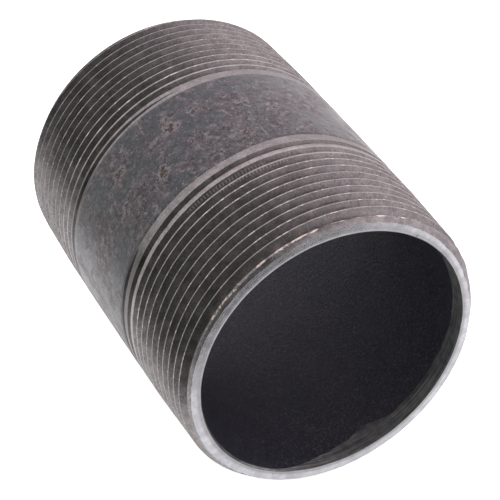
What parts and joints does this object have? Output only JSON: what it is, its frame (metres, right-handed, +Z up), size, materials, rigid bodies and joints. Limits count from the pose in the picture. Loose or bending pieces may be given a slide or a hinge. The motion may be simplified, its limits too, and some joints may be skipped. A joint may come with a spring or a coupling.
{
  "type": "threaded pipe nipple",
  "caption": "Short steel pipe nipple with a taper pipe thread on both ends, right hand at the front and left hand at the rear, a plain band between them and an open bore.",
  "frame": {"origin": "middle of the bore, halfway between the two end faces", "axes": "Y along the bore, with the front face at -Y; Z up; the part lies on its side"},
  "size_m": [0.0604, 0.0762, 0.0604],
  "materials": {
    "black_steel": "mill scale on the plain band, bare machined threads and end faces"
  },
  "bodies": {
    "root": {"pipe_nipple": "black_steel"}
  },
  "joints": []
}
